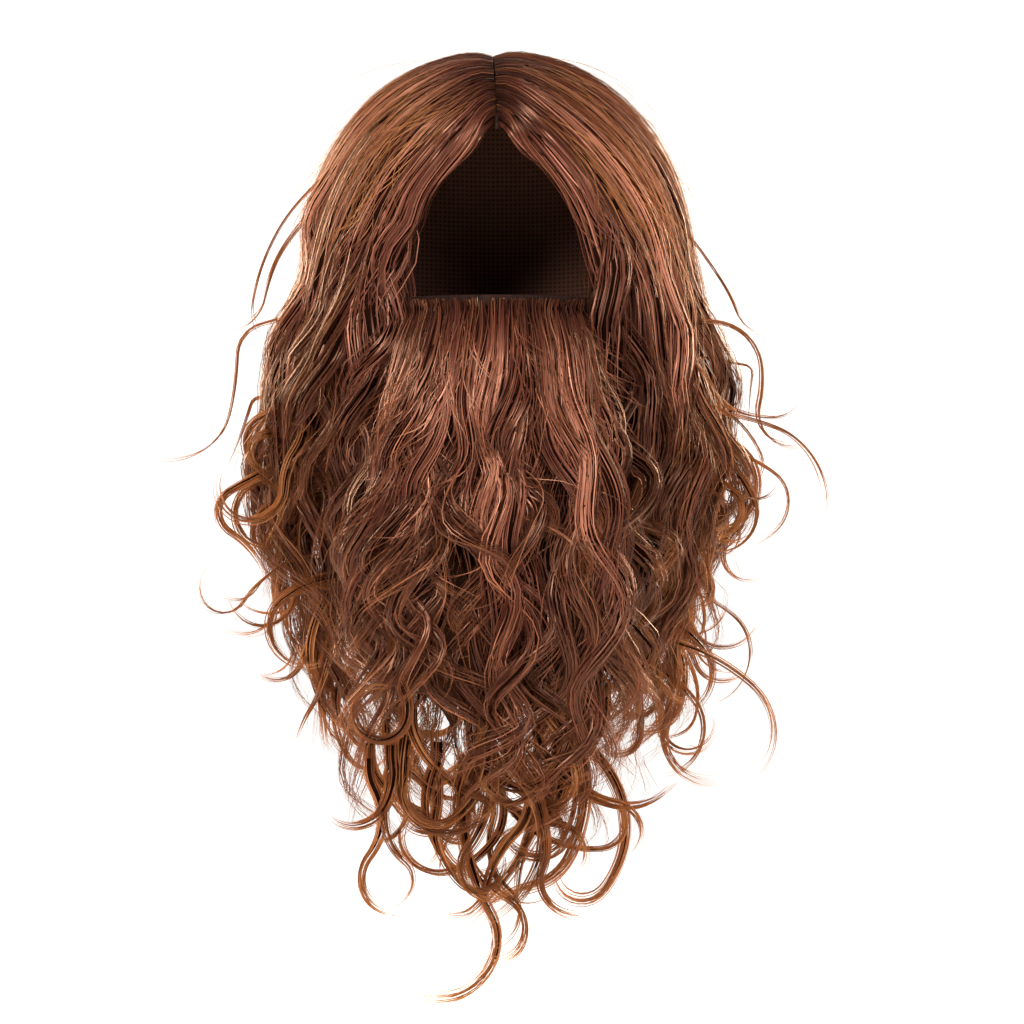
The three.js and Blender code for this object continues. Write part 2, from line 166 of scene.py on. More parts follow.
# degrees round the head where its outside starts and ends and where its inside starts, tilt of its roots from
# the crown, their side of the parting, height of its hem, and how far its waves push outwards
SECTION_COLUMNS = ("from", "to", "in_from", "root", "side", "hem", "push")
SECTION_ROWS = {
    "left_hair": (-62, 53, -38, (-51, 20), (1, 1), -425, 0.5),
    "right_hair": (242, 127, 218, (-51, 20), (-1, -1), -405, 0.5),
    "back_hair": (55, 125, 55, (22, 22), (1, -1), -430, 0.3),
}
SECTIONS = {name: dict(zip(SECTION_COLUMNS, row)) for name, row in SECTION_ROWS.items()}
# height, half width, how far back its sides and how far forward its middle lie, thickness
BEARD = np.array(
    [
        (-148.5, 54, -74, -104, 2),
        (-154, 52, -78, -107, 5),
        (-178, 59, -97, -122, 12),
        (-215, 67, -105, -133, 22),
        (-280, 82, -103, -140, 32),
        (-345, 92, -98, -138, 33),
        (-410, 88, -94, -132, 29),
        (-465, 72, -92, -126, 22),
        (-525, 50, -96, -117, 12),
    ]
)
BEARD_HEM = {"middle": -520, "side": -430, "curve": 1.5}
BEARD_ARC = {"half_angle": 84, "side_thickness": 0.45, "turn_in": 0.35}
ROOT_DEPTH, FULL_AT = 0.74, 0.1  # the hair's depth at the parting, and the share of the dome where it is full


# %% Where a point of the hair lies
def lerp(a, b, t):
    """The value at share t of the way from a to b: a plus t times their difference."""
    return a + (b - a) * t


def ease(t):
    """Smooth step: 3t squared less 2t cubed, held at 0 and 1 outside."""
    t = np.clip(t, 0, 1)
    return t * t * (3 - 2 * t)


def rise(t, start, over):
    """The smooth step that begins at start and takes a way of over."""
    return ease((t - start) / over)


def unit(v):
    """Vectors made 1 long: each divided by its own length."""
    return v / np.maximum(np.linalg.norm(v, axis=-1, keepdims=True), 1e-9)


def at(table, column, z):
    """A table's column at height z, on straight lines between its rows."""
    return np.interp(-z, -table[:, 0], table[:, column])


def round_head(degrees):
    """Level directions round the head: the angle's cosine and sine, and no height."""
    angle = np.radians(degrees)
    return np.stack([np.cos(angle), np.sin(angle), 0 * angle], -1)


def between(start, end, share):
    """Direction at a share of the great circle from one direction to another."""
    whole = np.arccos(np.clip((start * end).sum(-1), -1, 1))
    a, b = np.sin((1 - share) * whole) / np.sin(whole), np.sin(share * whole) / np.sin(whole)
    return start * a[..., None] + end * b[..., None]


def on_section(section, across, down, out):
    """A point of a section of hair and the way out of the head there.

    down goes from the parting (0) along a great circle to the equator (1), then straight down to the hem (2)
    and past it. out goes from the inside of the hair (0) to its outside (1), on a straight line between them.
    """
    across, down, out = np.broadcast_arrays(across, down, out)
    tilt = lerp(*section["root"], across)
    lean = PARTING["lean"] * (tilt - PARTING["front"]) / (PARTING["back"] - PARTING["front"])
    sideways = (lerp(*section["side"], across) * PARTING["half_width"] + lean) / DOME["half_width"]
    root = unit(np.stack([sideways, np.sin(np.radians(tilt)), np.cos(np.radians(tilt))], -1))
    outer_ring = round_head(lerp(section["from"], section["to"], across))
    inner_ring = round_head(lerp(section["in_from"], section["to"], across))
    share = np.clip(down, 0, 1)
    inner_way, outer_way = between(root, inner_ring, share), between(root, outer_ring, share)
    inner_dome = inner_way * (HEAD + UNDER_HAIR) - [0, 0, HEAD[2]]
    ahead = lerp(DOME["front"], DOME["hairline"], outer_way[..., 2])
    depth = np.where(outer_way[..., 1] < 0, ahead, DOME["back"])
    height = DOME["top"] - DOME["equator"]
    size = np.stack([0 * depth + DOME["half_width"], depth, 0 * depth + height], -1)
    outer_dome = outer_way * size + [0, 0, DOME["equator"]]
    z = lerp(DOME["equator"], section["hem"], np.maximum(down - 1, 0))

    def ring(flat, first):
        """Two half ellipses at height z, with the half width and depths from three columns of FALL."""
        depth = np.where(flat[..., 1] < 0, at(FALL, first + 1, z), at(FALL, first + 2, z))
        return np.stack([flat[..., 0] * at(FALL, first, z), flat[..., 1] * depth, z], -1)

    falling = (down > 1)[..., None]
    inner = np.where(falling, ring(inner_ring, 4), inner_dome)
    outer = np.where(falling, ring(outer_ring, 1), outer_dome)
    fullness = lerp(ROOT_DEPTH, 1, np.sqrt(np.clip(share / FULL_AT, 0, 1)))
    return inner + (outer - inner) * (out * fullness)[..., None], unit(outer - inner)


def on_beard(across, z, inwards):
    """A point of the beard and the way out of it there: an arc of an ellipse at each height, moved inwards by
    a share of the beard's thickness, which is less at the sides."""
    across, z, inwards = np.broadcast_arrays(across, z, inwards)
    turn = np.radians(BEARD_ARC["half_angle"] * across)
    half, side, front, thick = (at(BEARD, column, z) for column in (1, 2, 3, 4))
    thick = thick * lerp(BEARD_ARC["side_thickness"], 1, np.cos(turn)) * inwards
    outer = np.stack([half * np.sin(turn), lerp(side, front, np.cos(turn)), z], -1)
    inward = np.stack([-np.sin(turn) * BEARD_ARC["turn_in"], np.ones_like(turn), 0 * turn], -1)
    return outer + inward * thick[..., None], unit(-inward)


top, _ = on_section(SECTIONS["left_hair"], 0.5, 0.2, 1.0)
print("crown height", round(float(top[2]), 1), "mm")

# %% [markdown]
# ## Locks
# A lock is a path and the oval that its fibres fill. The path follows the form from its root, and a wave is
# laid over it: a sideways swing and, a quarter of a wave later, an outward one, so that the lock winds like a
# stretched spring. The wave grows down the hair and tightens into a curl over the lock's last hundred
# millimetres. Could these be curves with a hair system? The exported model only keeps meshes, so the paths
# are arrays here and meshes in the end.

# %% The path of a lock
STEPS = 36
EVEN = np.linspace(0, 1, STEPS)
CLOSER = 0.35  # how much closer the steps lie at the root and the tip
SHARE = (1 - CLOSER) * EVEN + CLOSER * EVEN**2 * (3 - 2 * EVEN)  # of the length
DOME_LENGTH = 190  # along the hair from the parting to the equator
# limits of a lock's own part of the wave and of the curl, and of the curl's way; how far phases differ
WAVE = {"part": (0.6, 1.3), "curl_part": (0.3, 1.6), "tail": (80, 150), "phases": 0.6}
WAVELENGTH = {"clump": (84, 118), "part": (0.92, 1.08), "shortens": 0.12, "over": 300, "most": 1.3}
CURL_RAMP = 60  # the way over which a curl may begin


def step_at(share):
    """The step, as a fraction of all steps, at a share of the length: the inverse of SHARE."""
    return np.interp(share, SHARE, EVEN)


def along(paths):
    """Unit tangents of paths, by differences along their second axis."""
    return unit(np.gradient(paths, axis=1))


def frames(paths, outward):
    """Tangent, sideways and outward unit vectors on paths: the given way out made square to the tangent."""
    tangent = along(paths)
    outward = unit(outward - (outward * tangent).sum(-1, keepdims=True) * tangent)
    return tangent, np.cross(tangent, outward), outward


def waved(base, outward, length, style):
    """Adds the set wave: amplitude times (cos phase sideways + push sin phase outwards).

    The amplitude grows from where the wave starts and again over the lock's end; the phase advances by a turn
    per wavelength, which shortens a little down the lock.
    """
    s = SHARE[None, :] * length[:, None]
    own = {key: value[:, None] for key, value in style.items()}
    begun = s - own["start"]
    ending = ease((s - length[:, None] + own["tail"]) / own["tail"])
    amplitude = own["wave"] * ease(begun / own["ramp"]) + own["curl"] * ending * ease(begun / CURL_RAMP)
    shorter = 1 + WAVELENGTH["shortens"] * np.clip(begun / WAVELENGTH["over"], 0, WAVELENGTH["most"])
    pace = 2 * np.pi / own["wavelength"] * shorter * (begun > 0)
    steps = np.diff(s, axis=1) * (pace[:, 1:] + pace[:, :-1]) / 2
    phase = own["phase"] + np.concatenate([np.zeros((len(s), 1)), np.cumsum(steps, axis=1)], 1)
    _, sideways, outward = frames(base, outward)
    swing = amplitude * np.cos(phase)
    push = amplitude * own["push"] * own["hand"] * np.sin(phase)
    return base + swing[..., None] * sideways + push[..., None] * outward, outward


STANDS = (0.15, 0.85)  # where a lock may stand in its own share of the width


def gathered(count, clumps, span):
    """Where locks stand when they gather into clumps: across, their clump, its middle, and their place in it
    from -1 to 1."""
    even = (np.arange(count) + chance.uniform(*STANDS, count)) / count
    clump = np.minimum((even * clumps).astype(int), clumps - 1)
    middle = (clump + 0.5) / clumps
    return lerp(*span, even), clump, lerp(*span, middle), (even - middle) * 2 * clumps


def lock_style(clump, start, ramp, wave, curl, push):
    """Each lock's own wave. Locks of a clump share its phase and hand, near enough to hang together and still
    cross."""
    n, clumps = len(clump), clump.max() + 1
    return {
        "start": chance.uniform(*start, n),
        "ramp": np.full(n, ramp),
        "push": np.full(n, push),
        "wave": wave * chance.uniform(*WAVE["part"], n),
        "curl": curl * chance.uniform(*WAVE["curl_part"], n),
        "tail": chance.uniform(*WAVE["tail"], n),
        "wavelength": chance.uniform(*WAVELENGTH["clump"], clumps)[clump]
        * chance.uniform(*WAVELENGTH["part"], n),
        "phase": chance.uniform(0, 2 * np.pi, clumps)[clump] + chance.normal(0, WAVE["phases"], n),
        "hand": chance.choice([-1, 1], clumps)[clump],
    }


# by what share a clump draws in, where that and its sway begin and over what way, and the sway's wavelength
DRAW = {"share": 0.4, "close": (140, 260), "sway": (60, 200), "sway_length": 330}


def drawn_in(across, clump, middle, s, wander):
    """Places across along locks: they close on their clump's middle as they fall, and it strays slowly."""
    close = DRAW["share"] * rise(s, *DRAW["close"])
    stray = chance.uniform(0, 2 * np.pi, clump.max() + 1)[clump][:, None]
    sway = wander * rise(s, *DRAW["sway"]) * np.sin(2 * np.pi * s / DRAW["sway_length"] + stray)
    return lerp(across[:, None], middle[:, None], close) + sway


# how a clump's tone and each lock's own differ, how much darker its edges are as painted shade, and the
# lightest clump
CLUMP = {"tone": 0.22, "own_tone": 0.09, "shade": 0.4, "lightest": 3}


def clump_tone(tone, clump, place):
    """A lock's tone: its layer's, its clump's and its own, with painted shade towards the clump's edges,
    which lie deeper. Most clumps are a little dark and a few are much lighter, by an exponential law."""
    lighter = np.minimum(chance.exponential(1, clump.max() + 1), CLUMP["lightest"]) - 1
    own = chance.normal(0, CLUMP["own_tone"], len(clump))
    return tone + CLUMP["tone"] * lighter[clump] + own - CLUMP["shade"] * place**2


OWN_LENGTH = (0.88, 1.08)  # limits of a lock's length, as shares of its clump's


def locks_of(layers, laid):
    """The locks of layers: paths, ways out of the head, tones, how many fibres each has and how frizzy. laid
    says how a layer lies: base paths, ways out, lengths and the waves' style."""
    made = []
    for layer in layers:
        count, clumps = layer["locks"], layer["clumps"]
        across, clump, middle, place = gathered(count, clumps, layer["across"])
        length = chance.uniform(*layer["length"], clumps)[clump] * chance.uniform(*OWN_LENGTH, count)
        *base, length, style = laid(layer["out"], across, clump, middle, place[:, None], length)
        path, outward = waved(*base, length, style)
        tone = clump_tone(layer["tone"], clump, place)
        made.append((path, outward, tone, np.full(count, layer["fibres"]), np.full(count, layer["frizz"])))
    return tuple(np.concatenate(column) for column in zip(*made))


# how far a clump's edges lie in, where that begins and over what way, and how far its middle wanders
SIDE_LIE = {"valley": 0.4, "deepens": (15, 110), "wander": 0.03}
SIDE_WAVE = {"start": (80, 160), "ramp": 170, "wave": 11, "curl": 9}


def section_locks(name, layers):
    """The locks of one section. Those at a clump's edges lie deeper than those in its middle, which leaves a
    dark valley beside it."""
    section = SECTIONS[name]

    def laid(out, across, clump, middle, place, length):
        """Down the dome by shares of its length, then down the fall by shares of its height."""
        s = SHARE[None, :] * length[:, None]
        fall = DOME["equator"] - section["hem"]
        down = np.where(s < DOME_LENGTH, s / DOME_LENGTH, 1 + (s - DOME_LENGTH) / fall)
        valley = SIDE_LIE["valley"] * place**2 * rise(s, *SIDE_LIE["deepens"])
        depth = chance.uniform(*out, len(across))[:, None] - valley
        moved = drawn_in(across, clump, middle, s, SIDE_LIE["wander"])
        base = on_section(section, moved, down, depth)
        return *base, length, lock_style(clump, **SIDE_WAVE, push=section["push"])

    return locks_of(layers, laid)


# the same for the beard, with how uneven its roots are, how its locks lean, and how much sooner they draw in
BEARD_LIE = {"valley": 0.45, "deepens": (0, 80), "wander": 0.05}
BEARD_ROOTS, BEARD_LEAN, BEARD_LEANS, BEARD_SOONER = (-1, 2), 0.035, (0, 140), 90
BEARD_WAVE = {"start": (-10, 40), "ramp": 120, "wave": 9, "curl": 15, "push": 0.45}


def beard_locks(layers):
    """The locks of the beard, as those of a section; out is then a share of the way inwards, and lengths are
    shares."""

    def laid(out, across, clump, middle, place, share):
        """Straight down from the band by a share of the way to the hem, with a small lean aside."""
        n = len(across)
        hem = lerp(BEARD_HEM["middle"], BEARD_HEM["side"], np.abs(2 * across - 1) ** BEARD_HEM["curve"])
        root = BEARD[0, 0] + chance.uniform(*BEARD_ROOTS, n)
        length = (root - hem) * share
        s = SHARE[None, :] * length[:, None]
        valley = BEARD_LIE["valley"] * place**2 * rise(s, *BEARD_LIE["deepens"])
        inwards = chance.uniform(*out, n)[:, None] + valley
        leaning = chance.normal(0, BEARD_LEAN, n)[:, None] * rise(s, *BEARD_LEANS)
        moved = drawn_in(across, clump, middle, s + BEARD_SOONER, BEARD_LIE["wander"])
        base = on_beard(2 * moved - 1 + leaning, root[:, None] - s, inwards)
        return *base, length, lock_style(clump, **BEARD_WAVE)

    return locks_of(layers, laid)


def layer(locks, clumps, out, length, tone, fibres, across=(0, 1), frizz=1.0):
    """A layer of locks: how many, in how many clumps, and between what limits they lie."""
    columns = ("locks", "clumps", "out", "length", "tone", "fibres", "across", "frizz")
    return dict(zip(columns, (locks, clumps, out, length, tone, fibres, across, frizz)))


# painted shade: the inner layers' tones are darker for the shade deep in the hair, and the last layer, edging
# the front opening, is darker than the outer for the shade there
SIDE_LAYERS = [
    layer(14, 14, (0.4, 0.55), (480, 570), 0.14, 7, (0.03, 1)),
    layer(24, 8, (0.7, 0.84), (390, 575), 0.24, 23, (0.03, 1)),
    layer(42, 11, (0.94, 1.03), (350, 550), 0.56, 38, (0.04, 1)),
    layer(6, 3, (0.3, 0.95), (300, 420), 0.38, 34, (0.02, 0.09), 0.35),
]
# painted shade: the inner layers' tones are darker for the shade deep in the hair
BACK_LAYERS = [
    layer(12, 12, (0.3, 0.45), (430, 550), 0.14, 7, frizz=0.5),
    layer(16, 6, (0.55, 0.68), (420, 570), 0.24, 24, frizz=0.5),
    layer(28, 8, (0.76, 0.86), (380, 580), 0.5, 36, frizz=0.4),
]
# painted shade: the inner layers' tones are darker for the shade deep in the beard
BEARD_LAYERS = [
    layer(24, 24, (0.66, 0.8), (0.92, 1.06), 0.16, 24),
    layer(34, 14, (0.36, 0.5), (0.76, 1.06), 0.24, 28),
    layer(46, 11, (0.02, 0.12), (0.45, 1.0), 0.46, 38),
]
UNDER_BEARD = sum(inner["locks"] for inner in BEARD_LAYERS[:-1])
LOCKS = {
    "left_hair": section_locks("left_hair", SIDE_LAYERS),
    "right_hair": section_locks("right_hair", SIDE_LAYERS),
    "back_hair": section_locks("back_hair", BACK_LAYERS),
    "beard": beard_locks(BEARD_LAYERS),
}
print({name: len(locks[0]) for name, locks in LOCKS.items()}, "locks")

# %% [markdown]
# ## Curls that leave the outline
# Some locks turn right out of the mass in a hook or a ring. Each is a chain of arcs in a plane that faces the
# viewer: a radius and a turn, one after another, with a slow drift in depth. The curvature is then a step
# function of the length, the heading is its sum, and the path is the sum of the heading's cosine and sine.

# %% The outline's curls, as chains of arcs in millimetres and degrees
# start x and z, depth, drift in depth, heading from +X towards +Z, width, arcs of (radius, turn)
CURLS = {
    "right_hair": [
        (-116, -152, -24, -8, 188, 6, [(200, 12), (22, 70), (220, -10), (40, -95)]),
        (-122, -211, -30, -16, 185, 12, [(72, 30), (18, 90), (60, 20), (22, -100)]),
        (-124, -244, -30, 14, 203, 13, [(330, 10), (16, 115), (60, -40)]),
        (-112, -268, -30, 14, 184, 13, [(90, 25), (21, 170)]),
        (-92, -326, -36, -14, 172, 15, [(60, 50), (24, 165)]),
        (-104, -366, -28, 8, 238, 13, [(70, 30), (120, 18)]),
        (-104, -398, -30, -8, 262, 9, [(40, 70), (60, 10)]),
        (-126, -206, -20, 6, 180, 4, [(300, 6), (6, 75), (120, -20)]),
        (-104, -54, -20, 6, 222, 4, [(200, 12), (150, 14), (110, 18), (30, 60)]),
        (-112, -74, -10, -6, 226, 5, [(160, 14), (120, 20), (26, -70)]),
        (-110, -380, -30, 6, 262, 8, [(90, -22), (60, 20)]),
        (-124, -232, -34, -10, 172, 10, [(120, 12), (13, 230)]),
        (-126, -260, -26, 10, 178, 11, [(200, 8), (22, 190), (60, -30)]),
        (-118, -286, -20, -8, 190, 10, [(120, 10), (18, 150)]),
    ],
    "left_hair": [
        (116, -155, -24, -6, -4, 6, [(300, -6), (34, -73), (70, -20), (22, 135)]),
        (128, -236, -26, 10, -24, 12, [(75, -44), (24, -140)]),
        (116, -262, -24, -12, -40, 14, [(60, -30), (22, -120)]),
        (112, -304, -36, 14, -28, 13, [(90, -20), (14, -150)]),
        (108, -340, -26, -10, -70, 15, [(110, -42), (31, 114)]),
        (110, -352, -30, 8, -22, 13, [(60, -35), (26, -110)]),
        (82, -372, -47, 6, -66, 14, [(110, -30), (14, -150)]),
        (124, -180, -18, 8, -6, 4, [(400, -6), (5, -95), (180, 12)]),
        (134, -236, -14, 6, -10, 4, [(120, -26), (24, -100), (60, -20)]),
        (116, -330, -20, 6, -12, 5, [(90, -30), (34, -120)]),
        (104, -384, -26, 6, -30, 9, [(80, -25), (30, -120)]),
        (112, -366, -30, -8, -14, 8, [(120, -30), (40, -90)]),
        (112, -88, -16, 6, -44, 4, [(180, -16), (120, -14), (24, 80)]),
        (130, -228, -28, 8, -14, 11, [(90, -20), (29, -165)]),
        (128, -214, -20, 6, -8, 5, [(240, -14), (50, -80)]),
        (126, -200, -16, -6, -24, 5, [(200, -8), (60, 30), (26, 50)]),
        (126, -254, -22, -8, -20, 10, [(120, -14), (17, -190)]),
    ],
    "beard": [
        (-58, -424, -110, -10, -100, 18, [(160, 12), (29, 118), (70, 22)]),
        (-40, -446, -108, 12, -110, 14, [(60, 60), (22, 110)]),
        (-22, -452, -112, 6, -94, 16, [(150, 34), (36, -158)]),
        (16, -448, -114, -10, -50, 16, [(58, -112)]),
        (52, -430, -108, 8, -72, 16, [(90, -48), (38, -46), (80, 30)]),
        (44, -446, -106, -6, -62, 13, [(44, 108)]),
        (-37, -446, -104, 8, -85, 11, [(120, -15), (14, 150)]),
        (-10, -452, -100, -6, -105, 11, [(90, -20), (60, 40)]),
        (44, -440, -104, 10, -106, 15, [(260, -20), (300, -8)]),
        (30, -466, -106, -6, -120, 11, [(120, 22), (80, 18)]),
        (68, -412, -104, 4, -100, 13, [(40, -70), (20, -60)]),
        (-60, -392, -118, -6, -60, 14, [(30, -40), (17, -280)]),
        (-66, -440, -98, 6, -125, 8, [(25, 60), (30, 50)]),
    ],
    "back_hair": [],
}
WIDTH = 5  # where such a row has its width
LEAD_IN = {"straight": 14, "wisp": 6, "wisp_width": 6, "radius": 32}
# limits of a loose hook's two bends and their turns, and of its drift in depth
HOOK = {"slow": (36, 70), "slow_turn": (25, 80), "tight": (14, 26), "tight_turn": (100, 210)}
HOOK_DRIFT = (-36, 36)


def hooks(starts, heading, hand, width):
    """Loose hooks by chance: from each start (x, z, y), a slow bend by hand (either way for 0), then a tight
    one."""
    made = []
    for start in starts:
        turns = chance.choice([-1, 1], 2)
        slow = (chance.uniform(*HOOK["slow"]), (hand or turns[0]) * chance.uniform(*HOOK["slow_turn"]))
        tight = (chance.uniform(*HOOK["tight"]), turns[1] * chance.uniform(*HOOK["tight_turn"]))
        drift = chance.uniform(*HOOK_DRIFT)
        made.append((*start, drift, chance.uniform(*heading), chance.uniform(*width), [slow, tight]))
    return made


def places(count, across, z, y):
    """Places by chance between limits: x, z and y."""
    return np.stack([chance.uniform(*limits, count) for limits in (across, z, y)], -1)


INSIDE = (0.74, 0.84)  # just inside the outline, as shares of the half width


def outline(count, side, z, y):
    """Places just inside the hair's outline on one side."""
    found = places(count, INSIDE, z, y)
    found[:, 0] *= side * at(FALL, 1, found[:, 1])
    return found


BUNDLE, LOCK, WISP = (11, 17), (8, 12), (2, 5)  # widths
CURLS["beard"] += hooks(places(22, (-78, 68), (-462, -414), (-114, -98)), (-135, -45), 0, BUNDLE)
CURLS["beard"] += hooks(places(7, (-52, 52), (-496, -466), (-112, -100)), (-135, -45), 0, LOCK)
CURLS["left_hair"] += hooks(outline(12, 1, (-405, -190), (-50, 50)), (-75, -35), -1, LOCK)
CURLS["left_hair"] += hooks(outline(14, 1, (-380, -150), (-50, 50)), (-60, 0), -1, WISP)
CURLS["right_hair"] += hooks(outline(12, -1, (-395, -190), (-50, 50)), (215, 255), 1, LOCK)
CURLS["right_hair"] += hooks(outline(14, -1, (-380, -150), (-50, 50)), (180, 240), 1, WISP)
CURLS["back_hair"] += hooks(places(7, (-66, 66), (-440, -390), (86, 98)), (-115, -65), 0, LOCK)

CURL_STEPS = 4 * STEPS  # a chain is summed finely first
# the most that fibres' scales differ, in spreads; the share of the width that they fill and lose; their sway
FAN = {"most": 1.6, "fill": 0.34, "thins": 0.55, "sway": 10, "sways": 1.2}


def curl_paths(curl, copies, spread, uneven):
    """Paths of one curl's fibres, and how far out in the bundle each lies, from 0 to 1.

    Each is the chain of arcs at its own scale, so the bundle opens in turning, and stops short by its own
    share, so the bundle ends in a point. A lead-in comes straight down and bends to the curl's heading, so
    that the lock seems to hang from above.
    """
    x, z, y, drift, heading, width, arcs = curl
    first = (heading + 90 + 180) % 360 - 180
    pieces = [(LEAD_IN["wisp" if width <= LEAD_IN["wisp_width"] else "straight"], 0.0)]
    pieces.append((LEAD_IN["radius"] * abs(np.radians(first)) + 1, np.sign(first) / LEAD_IN["radius"]))
    pieces += [(radius * abs(np.radians(turn)), np.sign(turn) / radius) for radius, turn in arcs]
    lengths, bends = np.array(pieces).T
    ends = np.cumsum(lengths)
    s = np.linspace(0, ends[-1], CURL_STEPS)
    bend = bends[np.minimum(np.searchsorted(ends, s), len(bends) - 1)]
    ds = s[1] - s[0]
    angle = -np.pi / 2 + np.cumsum(bend) * ds
    flat = np.cumsum(np.stack([np.cos(angle), np.sin(angle)], -1), axis=0) * ds
    begins = np.searchsorted(s, ends[1])
    flat -= flat[begins]
    across = unit(np.stack([-np.gradient(flat[:, 1]), np.gradient(flat[:, 0])], -1))
    after = np.clip((s - ends[1]) / (ends[-1] - ends[1]), 0, 1)
    stop = 1 - uneven * chance.uniform(0, 1, copies) ** 2
    keep = (stop[:, None] * np.linspace(0, len(s) - 1, STEPS)).astype(int)
    flat, across, after = flat[keep], across[keep], after[keep]
    most = FAN["most"] * spread
    scale = 1 + np.clip(chance.normal(0, spread, copies), -most, most)[:, None] * after
    turn, reach = chance.uniform(0, 2 * np.pi, copies), np.sqrt(chance.uniform(0, 1, copies))
    shift = np.stack([np.cos(turn), np.sin(turn)], -1) * reach[:, None] * width * FAN["fill"]
    thin = 1 - FAN["thins"] * ease(after)
    path = np.empty((copies, STEPS, 3))
    path[..., 0] = x + flat[..., 0] * scale + across[..., 0] * shift[:, :1] * thin
    path[..., 2] = z + flat[..., 1] * scale + across[..., 1] * shift[:, :1] * thin
    sway = FAN["sway"] * ease(2 * after) * np.sin(2 * np.pi * FAN["sways"] * after + x)
    path[..., 1] = y + drift * after * scale + sway + shift[:, 1:] * thin
    return path, reach


print({name: len(curls) for name, curls in CURLS.items()}, "curls")

# %% [markdown]
# ## Fibres
# A fibre keeps its place in its lock's oval, so it is the lock's path moved sideways and outwards by that
# place. To stop the bundle looking combed, each fibre stops at its own length, runs a little ahead of or
# behind the lock's wave, and wanders by a few slow ripples that grow towards its tip. It is a ribbon about
# a pixel wide, many times a real fibre, because finer ones would need millions of faces.


# %% Meshes from whole arrays
def put_mesh(name, points, faces, uv=None, strand=None):
    """A mesh object from points in millimetres and arrays of faces, each array with one number of corners."""
    mesh = bpy.data.meshes.new(name)
    mesh.vertices.add(len(points))
    mesh.vertices.foreach_set("co", (points * MM).astype(np.float32).ravel())
    corners = np.concatenate([f.ravel() for f in faces]).astype(np.int32)
    sizes = np.concatenate([np.full(len(f), f.shape[1]) for f in faces])
    mesh.loops.add(len(corners))
    mesh.loops.foreach_set("vertex_index", corners)
    mesh.polygons.add(len(sizes))
    mesh.polygons.foreach_set("loop_start", np.concatenate([[0], np.cumsum(sizes)[:-1]]).astype(np.int32))
    mesh.polygons.foreach_set("use_smooth", np.ones(len(sizes), bool))
    if uv is not None:
        layer = mesh.uv_layers.new(name="along")
        layer.data.foreach_set("uv", uv[corners].astype(np.float32).ravel())
    if strand is not None:
        shade = mesh.attributes.new("strand", "FLOAT_COLOR", "POINT")
        shade.data.foreach_set("color", strand.astype(np.float32).ravel())
    mesh.update(calc_edges=True)
    mesh.validate()
    made = bpy.data.objects.new(name, mesh)
    bpy.context.collection.objects.link(made)
    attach(made, "root")
    box = np.stack([points.min(0), points.max(0)]).round().tolist()
    print(name, int((sizes - 2).sum()), "triangles, mm", box)
    return made


def strand_marks(tone, share, loose, across):
    """Per vertex: a fibre's tone, the share of the way to its tip, how loose it is, the place across it."""
    shape = (len(tone), len(share), len(across))
    marks = np.empty((*shape, 4))
    marks[..., 0] = np.clip(tone, 0, 1)[:, None, None]
    marks[..., 1] = share[None, :, None]
    marks[..., 2] = np.broadcast_to(loose, len(tone))[:, None, None]
    marks[..., 3] = across[None, None, :]
    return marks.reshape(-1, 4)


# a ribbon's width at its root and tip, as shares of its middle's, where these changes begin and over what way
TAPER = {"root": 0.75, "widens": (0, 0.2), "tip": 0.2, "narrows": (0.8, 0.2)}


def ribbons(name, paths, normals, width, tone, loose=0.0):
    """Flat ribbons along paths: the path moved half a width each way, square to its tangent and normal."""
    n, steps, _ = paths.shape
    side = unit(np.cross(along(paths), normals))
    share = np.linspace(0, 1, steps)
    root, tip = lerp(TAPER["root"], 1, rise(share, *TAPER["widens"])), rise(share, *TAPER["narrows"])
    half = 0.5 * width[:, None] * root * lerp(1, TAPER["tip"], tip)
    rails = np.stack([paths - side * half[..., None], paths + side * half[..., None]], 2)
    first = (np.arange(n)[:, None] * steps + np.arange(steps - 1)[None, :]).ravel() * 2
    quads = np.stack([first, first + 1, first + 3, first + 2], -1)
    u = (np.arange(n)[:, None, None] + np.array([0.1, 0.9])[None, None, :]) / n
    uv = np.stack(np.broadcast_arrays(u, share[None, :, None]), -1).reshape(-1, 2)
    marks = strand_marks(tone, share, loose, np.array([0.0, 1.0]))
    return put_mesh(name, rails.reshape(-1, 3), [quads], uv, marks)


def tubes(name, paths, outward, half_width, half_depth, sides, tone):
    """Closed oval tubes along paths: an ellipse in the plane square to each tangent, and a flat face at each
    end."""
    n, steps, _ = paths.shape
    _, sideways, outward = frames(paths, outward)
    turn = np.linspace(0, 2 * np.pi, sides, endpoint=False)
    ring = (
        sideways[:, :, None, :] * (np.cos(turn) * half_width[..., None])[..., None]
        + outward[:, :, None, :] * (np.sin(turn) * half_depth[..., None])[..., None]
    )
    points = (paths[:, :, None, :] + ring).reshape(-1, 3)
    tube, step, k = np.meshgrid(np.arange(n), np.arange(steps - 1), np.arange(sides), indexing="ij")
    a = (tube * steps + step) * sides + k
    b = (tube * steps + step) * sides + (k + 1) % sides
    quads = np.stack([a, b, b + sides, a + sides], -1).reshape(-1, 4)
    start = np.arange(n)[:, None] * steps * sides
    caps = [start + np.arange(sides)[None, ::-1], start + (steps - 1) * sides + np.arange(sides)[None, :]]
    u = np.broadcast_to(turn / (2 * np.pi), (n, steps, sides))
    v = np.broadcast_to(np.linspace(0, 1, steps)[None, :, None], (n, steps, sides))
    uv = np.stack([u, v], -1).reshape(-1, 2)
    marks = strand_marks(tone, np.linspace(0, 1, steps), 0.0, 9 * np.abs(turn / np.pi - 1))
    return put_mesh(name, points, [quads, *caps], uv, marks)


